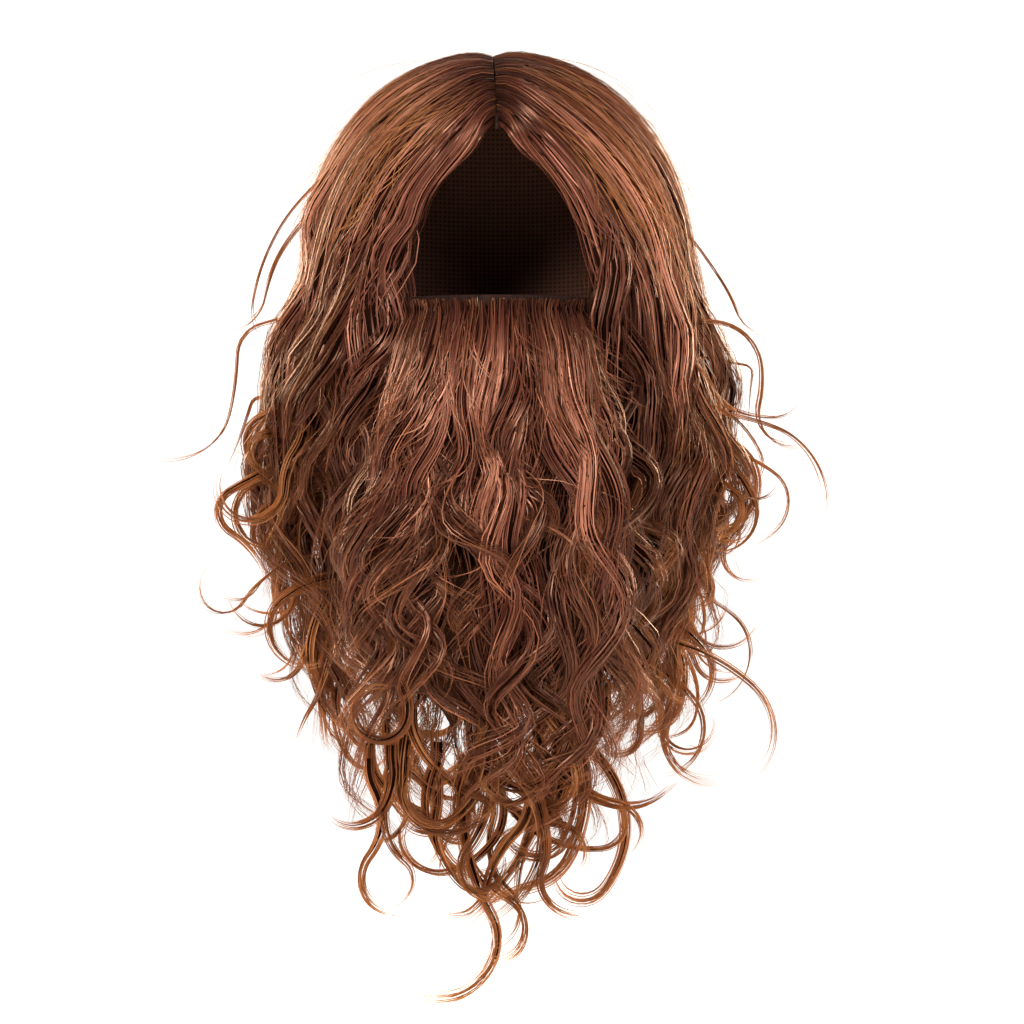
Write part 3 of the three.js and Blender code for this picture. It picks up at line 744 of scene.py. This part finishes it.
def wall(name, outer, inner, tone, stripes):
    """A closed wall between two grids of points, joined round its edge, with its faces turned out by its
    volume."""
    rows, columns = outer.shape[:2]
    index = np.arange(rows * columns).reshape(rows, columns)
    front = np.stack([index[:-1, :-1], index[1:, :-1], index[1:, 1:], index[:-1, 1:]], -1).reshape(-1, 4)
    rim = np.concatenate([index[:-1, 0], index[-1, :-1], index[:0:-1, -1], index[0, :0:-1]])
    after = np.roll(rim, -1)
    back = front[:, ::-1] + rows * columns
    edge = np.stack([after, rim, rim + rows * columns, after + rows * columns], -1)
    faces = np.concatenate([front, back, edge])
    points = np.concatenate([outer.reshape(-1, 3), inner.reshape(-1, 3)])
    a, b, c, d = points[faces].transpose(1, 0, 2)
    volume = (a * (np.cross(b, c) + np.cross(c, d))).sum()
    down, across = np.meshgrid(np.linspace(0, 1, rows), np.linspace(0, 1, columns), indexing="ij")
    uv = np.tile(np.stack([across, down], -1).reshape(-1, 2), (2, 1))
    marks = np.stack([0 * down + tone, down, 0 * down, across * stripes], -1).reshape(-1, 4)
    return put_mesh(name, points, [faces if volume > 0 else faces[:, ::-1]], uv, np.tile(marks, (2, 1)))


def sampled(values, share):
    """Values along each path at the given shares of its length, on straight lines between its steps."""
    place = step_at(share) * (STEPS - 1)
    low = np.minimum(place.astype(int), STEPS - 2)
    rows = np.arange(len(values))[:, None]
    part = place - low
    if values.ndim == 3:
        part = part[..., None]
    return values[rows, low] * (1 - part) + values[rows, low + 1] * part


# where a lock grows round, widens and thins, how thin its root and tip are, and limits of its own size
OVAL = {"rounder": (0.25, 0.3), "root": 0.25, "widens": (0, 0.12), "tip": 0.4, "thins": (0.58, 0.42)}
OVAL_OWN = (0.75, 1.3)


def lock_oval(n, crown_wide, wide, crown_deep, deep):
    """Half width and half depth of locks along their length: narrow at the root, flat over the crown, rounder
    below and thin at the tip."""
    below = rise(SHARE[None, :], *OVAL["rounder"])
    root = lerp(OVAL["root"], 1, rise(SHARE[None, :], *OVAL["widens"]))
    tip = lerp(1, OVAL["tip"], rise(SHARE[None, :], *OVAL["thins"]))
    own = chance.uniform(*OVAL_OWN, n)[:, None]
    return lerp(crown_wide, wide, below) * root * tip * own, lerp(crown_deep, deep, below) * tip * own


# shares of the fibres that keep close and that keep close or ripple; the ripples of these and of the others
KINDS = {"close": 0.74, "rippled": 0.95, "ripples": (0.6, 1.8, 5.0), "own": (0.6, 1.4), "grow": (0.1, 0.7)}
RIPPLES = ((1.0, 2.2), (0.6, 4.5))  # size and number along a lock
# limits of a fibre's place in the oval, squared, and how much farther out loose ones lie
PLACE = {"reach": (0.25, 1.2), "loose": 1.25}
# the share of the fibres that end with their lock, where they and the others end, how far they lag and where
ENDS = {"whole": 0.72, "late": (0.92, 1.0), "early": (0.6, 0.92), "lag": 0.01, "lags": (0, 0.4)}
FACING = {"spread": 0.5, "out": 0.6}  # how a ribbon's flat side turns
LOOSE_OVER, LOOSEST = 8, 0.7  # ripples, in millimetres, that make a fibre quite loose


def fibres(paths, outward, half_width, half_depth, own, frizz):
    """Fibre paths, normals, looseness and how far out of its lock each lies, from -1 to 1.

    Three in four keep close to their lock and end with it; most others ripple, and one in twenty strays.
    """
    total = len(own)
    kind = chance.random(total)
    close = kind < KINDS["close"]
    swell = np.select([close, kind < KINDS["rippled"]], KINDS["ripples"][:2], KINDS["ripples"][2])
    ripples = swell * chance.uniform(*KINDS["own"], total) * frizz[own]
    turn = chance.uniform(0, 2 * np.pi, total)
    reach = np.sqrt(chance.uniform(*PLACE["reach"], total)) * np.where(close, 1, PLACE["loose"])
    whole, cut = chance.uniform(*ENDS["late"], total), chance.uniform(*ENDS["early"], total)
    length = np.where(chance.random(total) < ENDS["whole"], whole, cut)
    share = SHARE[None, :] * length[:, None]
    lag = chance.normal(0, ENDS["lag"], total)[:, None] * rise(share, *ENDS["lags"])
    centre = sampled(paths[own], share + lag)
    _, sideways, out = frames(centre, sampled(outward[own], share))
    x = (reach * np.cos(turn))[:, None] * sampled(half_width[own], share)
    y = (reach * np.sin(turn))[:, None] * sampled(half_depth[own], share)
    grown = ripples[:, None] * rise(share, *KINDS["grow"])
    for size, waves in RIPPLES:
        tilt, start = chance.uniform(0, 2 * np.pi, (2, total))
        ripple = size * grown * np.sin(2 * np.pi * waves * share + start[:, None])
        x = x + ripple * np.cos(tilt)[:, None]
        y = y + ripple * np.sin(tilt)[:, None]
    path = centre + x[..., None] * sideways + y[..., None] * out
    aside, ahead = np.cos(turn) + chance.normal(0, FACING["spread"], total), np.sin(turn) + FACING["out"]
    normal = unit(aside[:, None, None] * sideways + ahead[:, None, None] * out)
    return path, normal, np.clip((ripples - 1) / LOOSE_OVER, 0, LOOSEST), reach * np.sin(turn)


# the share of strays on the crown, where they and the others start and how long they are, as shares of a lock
STRAY = {"crown": 0.4, "on_crown": (0.03, 0.25), "below": (0.2, 0.8), "stretch": (0.1, 0.3), "steps": 12}
# in millimetres: how far they drift aside, mostly and at most, how far apart they start, the least lift
ASIDE = {"mostly": 16, "most": 24, "apart": 4, "off": 0.5, "start_off": 1.5}


def strays(paths, outward, count, lift):
    """Single fibres that leave their lock: a stretch of its path, plus a drift that grows with the square of
    the way and a lift off the hair that is small for most."""
    own = chance.integers(0, len(paths), count)
    crown = chance.random(count) < STRAY["crown"]
    start = np.where(crown, *[chance.uniform(*STRAY[place], count) for place in ("on_crown", "below")])
    stretch = chance.uniform(*STRAY["stretch"], count)
    way = np.linspace(0, 1, STRAY["steps"])
    share = np.clip(start[:, None] + stretch[:, None] * way, 0, 1)
    centre = sampled(paths[own], share)
    _, sideways, out = frames(centre, sampled(outward[own], share))
    aside = np.clip(chance.normal(0, ASIDE["mostly"], count), -ASIDE["most"], ASIDE["most"])
    off = ASIDE["off"] + lift * chance.random(count) ** 2
    x = aside[:, None] * way**2 + chance.uniform(-ASIDE["apart"], ASIDE["apart"], count)[:, None]
    y = off[:, None] * way * (2 - way) + ASIDE["start_off"]
    return centre + x[..., None] * sideways + y[..., None] * out, out


# %% [markdown]
# ## Hair finish
# The fibre is a heat-set synthetic, extruded smooth and dyed in the mass: auburn, a little different from
# fibre to fibre, and glossy along its length only. That gives a bright band where a wave turns to the light
# and deep brown in the gaps. The tone comes from each fibre's own mark and fine stripes, with painted shade
# at the root, low down and deep in the hair, and a painted golden glow at the tips. Thin curls at the outline
# are painted golden, for the light that comes through them from behind.


# %% Materials of the hair
# share of the way from root to tip, and how much of a fibre's tone shows there: painted shade at the root and
# low down, where the hair shades itself
SHADES = [(0, 0.1), (0.08, 0.62), (0.2, 0.84), (0.36, 1), (0.51, 0.82), (0.68, 0.28), (0.83, 0.25), (1, 0.5)]
# painted shade: the beard's roots stand close on their band, so they are painted in shade for longer
BEARD_SHADES = [(0, 0.1), (0.08, 0.56), (0.2, 0.82), *SHADES[3:]]
APART = 89.0  # sets each fibre's stripes far from the next one's


def maths(tree, operation, *values, clamp=False):
    """The output of a maths node, on other nodes' outputs and on numbers."""
    numbers = {i: value for i, value in enumerate(values) if isinstance(value, float)}
    links = {f"n{i}": value for i, value in enumerate(values) if i not in numbers}
    settings = {"operation": operation, "use_clamp": clamp, **numbers}
    return node(tree, "ShaderNodeMath", settings, **links).outputs[0]


def hair_material(name, tones, tip, roughness, gloss, sheen, through, shades=SHADES):
    """Dyed synthetic fibre: three tones by the fibre's mark and stripes, with painted shade at the root and
    low down, a painted golden glow where it is loose and at the tip, glossy along its length, and letting a
    share of orange light through."""
    material, tree, out = new_material(name)
    marks = node(tree, "ShaderNodeAttribute", {"attribute_name": "strand"})
    parts = node(tree, "ShaderNodeSeparateColor", None, Color=marks.outputs["Color"])
    own = maths(tree, "MULTIPLY_ADD", parts.outputs[0], APART, marks.outputs["Alpha"])
    place = node(tree, "ShaderNodeCombineXYZ", None, X=own, Y=parts.outputs[1])
    spread = node(tree, "ShaderNodeMapping", {"Scale": (5.0, 3.0, 1.0)}, Vector=place.outputs[0])
    stripes = node(tree, "ShaderNodeTexNoise", {"Scale": 1.0, "Detail": 1.0}, Vector=spread.outputs[0])
    contrast = {"From Min": 0.3, "From Max": 0.7, "To Min": -0.2, "To Max": 0.2}
    shift = node(tree, "ShaderNodeMapRange", contrast, Value=stripes.outputs[0])
    striped = maths(tree, "ADD", parts.outputs[0], shift.outputs[0])
    # painted shade along the fibre: the tone is darkened at the root and low down by the shades
    depth = node(tree, "ShaderNodeFloatCurve", None, Value=parts.outputs[1])
    curve = depth.mapping.curves[0].points
    for share, shade in shades:
        (curve.new(share, shade) if 0 < share < 1 else curve[int(share)]).location = (share, shade)
    depth.mapping.update()
    tone = maths(tree, "MULTIPLY", striped, depth.outputs[0], clamp=True)
    colours = node(tree, "ShaderNodeValToRGB", None, Fac=tone)
    ramp = colours.color_ramp.elements
    ramp[0].color, ramp[1].color = linear(tones[0]), linear(tones[2])
    ramp.new(0.5).color = linear(tones[1])
    # painted glow: towards the golden tip colour near the tip and where a fibre is loose, for light coming
    # through thin ends
    painted_tip_glow = node(tree, "ShaderNodeMapRange", {"From Min": 0.84, "To Max": 0.4}, Value=parts.outputs[1])
    loose = maths(tree, "MAXIMUM", painted_tip_glow.outputs[0], parts.outputs[2])
    to_tip = {"data_type": "RGBA", 7: linear(tip)}
    painted_glow_colour = node(tree, "ShaderNodeMix", to_tip, n0=loose, n6=colours.outputs["Color"])
    tangent = node(tree, "ShaderNodeTangent", {"direction_type": "UV_MAP", "uv_map": "along"})
    finish = {
        "Roughness": roughness,
        "Anisotropic": 0.7,
        "Specular IOR Level": gloss,
        "Specular Tint": linear("#e6a888"),
        "Sheen Weight": sheen,
        "Sheen Roughness": 0.4,
        "Sheen Tint": linear("#d98a45"),
    }
    links = {"Base_Color": painted_glow_colour.outputs[2], "Tangent": tangent.outputs[0]}
    shader = node(tree, "ShaderNodeBsdfPrincipled", finish, **links)
    if through:
        glow = node(tree, "ShaderNodeBsdfTranslucent", {"Color": linear("#c08454")})
        shader = node(tree, "ShaderNodeMixShader", {0: through}, n1=shader.outputs[0], n2=glow.outputs[0])
    tree.links.new(shader.outputs[0], out.inputs["Surface"])
    return material


# auburn with a pink shine, as the wig's locks and the beard's, and a golden tip colour painted as glow
# through the ends
AUBURN = (("#1a0a08", "#5c2d24", "#cc886e"), "#b06c46", 0.3, 0.78, 0.1, 0.15)
FIBRE = hair_material("dyed synthetic fibre", *AUBURN)
BEARD_FIBRE = hair_material("dyed synthetic fibre on a band, painted shade at the root", *AUBURN, BEARD_SHADES)
# golden brown as painted light coming through from behind, and a third lit through, as the thin curls at the
# outline
THIN_BACKLIT = hair_material(
    "thin synthetic fibre with painted glow", ("#2a140c", "#80492a", "#d89c66"), "#d6985a", 0.36, 0.55, 0.1, 0.36
)
# painted shade: deep brown without a shine, as the heart of a lock in the shade of its fibres
SHADED_CORE = hair_material("synthetic fibre in painted shade", ("#120704", "#22100a", "#3a1c12"), "#3a1c12", 0.7, 0, 0, 0)
# painted shade: nearly black with brown threads, as the hair behind the locks in their shade
COMBED_IN_SHADE = hair_material("combed synthetic fibre in painted shade", ("#080302", "#34190f", "#6e3c2a"), "#3a1e14", 0.6, 0.2, 0, 0)

# %% The locks of each section, with their fibres
# the oval of its locks, their finish, how many fibres stray, how far the loosest lift, and their finish
HAIR_COLUMNS = ("oval", "laid", "strays", "lift", "strayed")
SIDE_ROW = ((7, 8, 2.2, 5), FIBRE, 680, 16, THIN_BACKLIT)
HAIR_ROWS = {
    "left_hair": SIDE_ROW,
    "right_hair": SIDE_ROW,
    "back_hair": ((7, 9, 2.2, 5), FIBRE, 260, 4, THIN_BACKLIT),
    "beard": ((6, 7, 2.5, 5), BEARD_FIBRE, 640, 5, BEARD_FIBRE),
}
HAIR = {name: dict(zip(HAIR_COLUMNS, row)) for name, row in HAIR_ROWS.items()}
# a lock's heart, dark as painted shade: how far it reaches, its girth and its end's, as shares, and where it
# thins
HEART = {"steps": 17, "sides": 5, "reach": 0.8, "girth": 0.72, "end": 0.25, "thins": (0.35, 0.45)}
# how much lighter a lock's outer fibres are, as painted shade on the deeper ones, how far tones differ,
# widths, and how much loose ones thin
STRAND = {"outer": 0.1, "tones": 0.19, "width": (0.42, 0.88), "loose": 0.5}


def dress(piece, node_name, material):
    """Gives a piece its finish, and has it stand for its section's solid."""
    piece.data.materials.append(material)
    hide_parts(node_name)


def lay_hair(name, label, paths, outward, lock_tone, counts, frizz):
    """The heart of each lock, dark as painted shade, and the fibres that lie round it."""
    half_width, half_depth = lock_oval(len(paths), *HAIR[name]["oval"])
    inner = np.broadcast_to(np.linspace(0, HEART["reach"], HEART["steps"]), (len(paths), HEART["steps"]))
    slim = HEART["girth"] * lerp(1, HEART["end"], rise(inner, *HEART["thins"]))
    ways = sampled(paths, inner), sampled(outward, inner)
    sizes = slim * sampled(half_width, inner), slim * sampled(half_depth, inner)
    core = tubes(label + "_locks", *ways, *sizes, HEART["sides"], lock_tone)
    own = np.repeat(np.arange(len(paths)), counts)
    path, normal, loose, outer = fibres(paths, outward, half_width, half_depth, own, frizz)
    # painted shade: fibres deeper in the lock are darker
    tone = lock_tone[own] + STRAND["outer"] * outer + chance.normal(0, STRAND["tones"], len(own))
    width = chance.uniform(*STRAND["width"], len(own)) * (1 - STRAND["loose"] * loose)
    hair = ribbons(label + "_fibres", path, normal, width, tone, loose)
    dress(core, name, SHADED_CORE)
    dress(hair, name, HAIR[name]["laid"])


for name, locks in LOCKS.items():
    halves = {name: slice(None)}
    if name == "beard":
        halves = {"beard_under": slice(0, UNDER_BEARD), "beard": slice(UNDER_BEARD, None)}
    for label, part in halves.items():
        lay_hair(name, label, *[column[part] for column in locks])

# %% [markdown]
# ## Under the locks
# Behind the locks the wefts hang so close together that no light comes through. Fibres for that depth would
# never be seen, so a thin wall of combed hair stands there, striped as finely as hair, inside the locks, and
# painted nearly black as the shade there.

# %% The combed hair behind the locks
UNDER = {"rows": 24, "columns": 48, "outer": 0.44, "inner": 0.36, "tone": 0.42, "stripes": 17}
UNDER_WIG = {"top": 0.02, "hem": 1.74, "ragged": 0.08, "sides": (0.06, 1), "back": (-0.03, 1.03)}
UNDER_BEARD_WALL = {"top": -151, "middle": -414, "side": -360, "ragged": 16, "edge": 0.9}
UNDER_BEARD_INWARDS = (0.66, 0.8)


def ragged(across):
    """An uneven hem, from -1 to 1: three sines whose waves never fall together."""
    return (np.sin(17 * across) + np.sin(29 * across + 1) + np.sin(47 * across + 2)) / 3


grid = [np.linspace(0, 1, UNDER[side]) for side in ("rows", "columns")]
down, across = np.meshgrid(*grid, indexing="ij")
for name, section in SECTIONS.items():
    share = lerp(*UNDER_WIG["back" if name == "back_hair" else "sides"], across)
    lowest = UNDER_WIG["hem"] + UNDER_WIG["ragged"] * ragged(6 * share)
    place = lerp(UNDER_WIG["top"], lowest, down)
    skins = [on_section(section, share, place, UNDER[skin])[0] for skin in ("outer", "inner")]
    dress(wall(name + "_underlay", *skins, UNDER["tone"], UNDER["stripes"]), name, COMBED_IN_SHADE)
share = lerp(-UNDER_BEARD_WALL["edge"], UNDER_BEARD_WALL["edge"], across)
lowest = lerp(UNDER_BEARD_WALL["middle"], UNDER_BEARD_WALL["side"], np.abs(share) ** BEARD_HEM["curve"])
height = lerp(UNDER_BEARD_WALL["top"], lowest + UNDER_BEARD_WALL["ragged"] * ragged(3 * share), down)
skins = [on_beard(share, height, inwards)[0] for inwards in UNDER_BEARD_INWARDS]
dress(wall("beard_underlay", *skins, UNDER["tone"], UNDER["stripes"]), "beard", COMBED_IN_SHADE)

# %% The fibres of the outline's curls, and a heart painted dark as shade in the thicker ones
CURL = {"spread": 0.022, "uneven": 0.3, "fibres_per_mm": 1.9, "fewest": 6, "facing": 1.2}
CURL_WIDTH = (0.45, 0.9)
# tones of curls and how they differ, as do the fibres of one, whose outer ones are painted lighter as light
# coming through the bundle's edge
CURL_TONE = {"curl": (0.22, 0.1), "fibre": (0, 0.12), "outer": 0.5}
# painted shade: a thin dark tube down the first part of each thicker curl, as its shaded heart
CURL_HEART = {"girth": 0.2, "end": 0.15, "steps": 24, "sides": 4, "tone": 0.3}
FORWARD = np.array([0.0, -1, 0])
for name in LOCKS:
    own = CURLS[name]
    counts = [max(CURL["fewest"], int(CURL["fibres_per_mm"] * curl[WIDTH])) for curl in own]
    made = [curl_paths(curl, count, CURL["spread"], CURL["uneven"]) for curl, count in zip(own, counts)]
    path, reach = (np.concatenate(column) for column in zip(*made))
    normal = unit(chance.normal(0, 1, (len(path), 1, 3)) + CURL["facing"] * FORWARD) * np.ones((1, STEPS, 1))
    tone = np.repeat(chance.normal(*CURL_TONE["curl"], len(own)), counts)
    # painted light: a curl's outer fibres are lighter, as light comes through its edge
    tone += chance.normal(*CURL_TONE["fibre"], len(path)) + CURL_TONE["outer"] * reach**3
    width = chance.uniform(*CURL_WIDTH, len(path))
    dress(ribbons(name + "_curls", path, normal, width, tone), name, THIN_BACKLIT)
    thick = [curl for curl in own if curl[WIDTH] > LEAD_IN["wisp_width"]]
    hearts = [curl_paths((*curl[:WIDTH], 0.0, curl[-1]), 1, 0.0, 0.0)[0] for curl in thick]
    middle = np.concatenate(hearts)[:, : CURL_HEART["steps"]]
    slim = lerp(1, CURL_HEART["end"], ease(np.linspace(0, 1, CURL_HEART["steps"])))
    girth = CURL_HEART["girth"] * np.array([curl[WIDTH] for curl in thick])[:, None] * slim
    forward, tone = np.broadcast_to(FORWARD, middle.shape), np.full(len(thick), CURL_HEART["tone"])
    heart = tubes(name + "_curl_hearts", middle, forward, girth, girth, CURL_HEART["sides"], tone)
    dress(heart, name, SHADED_CORE)

# %% Single fibres astray
CALM_LOCKS = 4  # the first locks of a section edge the front opening and stay smooth
OUTER_FIBRES = 36  # the outer layer's locks have at least as many
# strays are painted partly towards the golden tip colour, as glow of light through them
STRAY_TONE, STRAY_WIDTH, STRAY_LOOSE = (0.6, 0.15), (0.3, 0.55), 0.2
for name, hair in HAIR.items():
    paths, outward, _, counts, _ = LOCKS[name]
    outer, count = counts >= OUTER_FIBRES, hair["strays"]
    path, normal = strays(paths[outer][CALM_LOCKS:], outward[outer][CALM_LOCKS:], count, hair["lift"])
    tone, width = chance.normal(*STRAY_TONE, count), chance.uniform(*STRAY_WIDTH, count)
    dress(ribbons(name + "_strays", path, normal, width, tone, STRAY_LOOSE), name, hair["strayed"])

# %% [markdown]
# ## The cap, the seam and the bands
# The wefts are sewn to a cap of stretch net, which shows through the front opening and from below. Its solid
# is coarse, so a finer wall on the same ellipsoid takes its place. The parting seam, the beard's band and its
# two elastics keep their solids, and get finishes with threads, drawn a little coarse to show.

# %% Threads
WAVES_PER_UNIT = 20 / (2 * np.pi)  # what a wave texture of scale 1 draws in a metre


def woven(name, gap, thread, pitches, directions, roughness):
    """Knitted or sewn threads: two sets of bands at right angles, whose crests are threads raised by bump."""
    material, tree, out = new_material(name)
    place = node(tree, "ShaderNodeTexCoord")
    crests = []
    for direction, pitch in zip(directions, pitches):
        scale = 1 / (pitch * MM * WAVES_PER_UNIT)
        bands = {"bands_direction": direction, "Scale": scale, "Distortion": 0.6}
        crests.append(node(tree, "ShaderNodeTexWave", bands, Vector=place.outputs["Object"]).outputs[1])
    height = maths(tree, "MAXIMUM", *crests)
    colours = node(tree, "ShaderNodeValToRGB", None, Fac=height)
    colours.color_ramp.elements[0].color, colours.color_ramp.elements[1].color = linear(gap), linear(thread)
    relief = node(tree, "ShaderNodeBump", {"Strength": 0.6, "Distance": 0.0004}, Height=height)
    links = {"Base_Color": colours.outputs[0], "Normal": relief.outputs[0]}
    matt = {"Roughness": roughness, "Specular IOR Level": 0.2}
    shader = node(tree, "ShaderNodeBsdfPrincipled", matt, **links)
    tree.links.new(shader.outputs[0], out.inputs["Surface"])
    return material


NET = woven("knitted nylon net", "#140a06", "#4a2c1e", (3.0, 3.0), "XZ", 0.85)
SEWN = woven("machine sewn weft", "#140905", "#2e160d", (1.6, 2.2), "YX", 0.8)
ELASTIC = woven("woven elastic", "#120905", "#2a1810", (1.2, 3.0), "ZY", 0.75)
KEPT = {"parting_seam": SEWN, "beard_band": SEWN, "beard_strap_left": ELASTIC, "beard_strap_right": ELASTIC}
for name, finish in KEPT.items():
    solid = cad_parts[name]
    solid.data.materials.clear()
    solid.data.materials.append(finish)

# %% The net cap
CAP = {"wall": 1.6, "front": -31, "nape": -165, "rise": 0.75, "rings": 30, "sides": 72}


def on_cap(grown):
    """The cap's crown, then rings from there to the rim, whose height falls from the front to the nape."""
    angle = np.linspace(0, 360, CAP["sides"], endpoint=False)
    backwards = (1 + np.sin(np.radians(angle))) / 2
    rim = lerp(CAP["front"], CAP["nape"], backwards ** CAP["rise"])
    tilt = np.arccos((rim + HEAD[2]) / HEAD[2]) * np.linspace(0, 1, CAP["rings"] + 1)[1:, None]
    way = round_head(angle)[None] * np.sin(tilt)[..., None]
    way[..., 2] = np.cos(tilt)
    way = np.concatenate([[[0, 0, 1]], way.reshape(-1, 3)])
    return way * (HEAD + grown) - [0, 0, HEAD[2]]


outside = on_cap(CAP["wall"])
ring, k = np.meshgrid(np.arange(CAP["rings"] - 1), np.arange(CAP["sides"]), indexing="ij")
here, beside = 1 + ring * CAP["sides"] + k, 1 + ring * CAP["sides"] + (k + 1) % CAP["sides"]
skin = np.stack([here, here + CAP["sides"], beside + CAP["sides"], beside], -1).reshape(-1, 4)
crown = np.stack([0 * here[0], here[0], beside[0]], -1)
rim, after = here[-1] + CAP["sides"], beside[-1] + CAP["sides"]
edge = np.stack([rim, rim + len(outside), after + len(outside), after], -1)
inside = len(outside)
faces = [skin, skin[:, ::-1] + inside, edge, crown, crown[:, ::-1] + inside]
cap = put_mesh("cap_net", np.concatenate([outside, on_cap(0)]), faces)
cap.data.materials.append(NET)
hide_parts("cap")
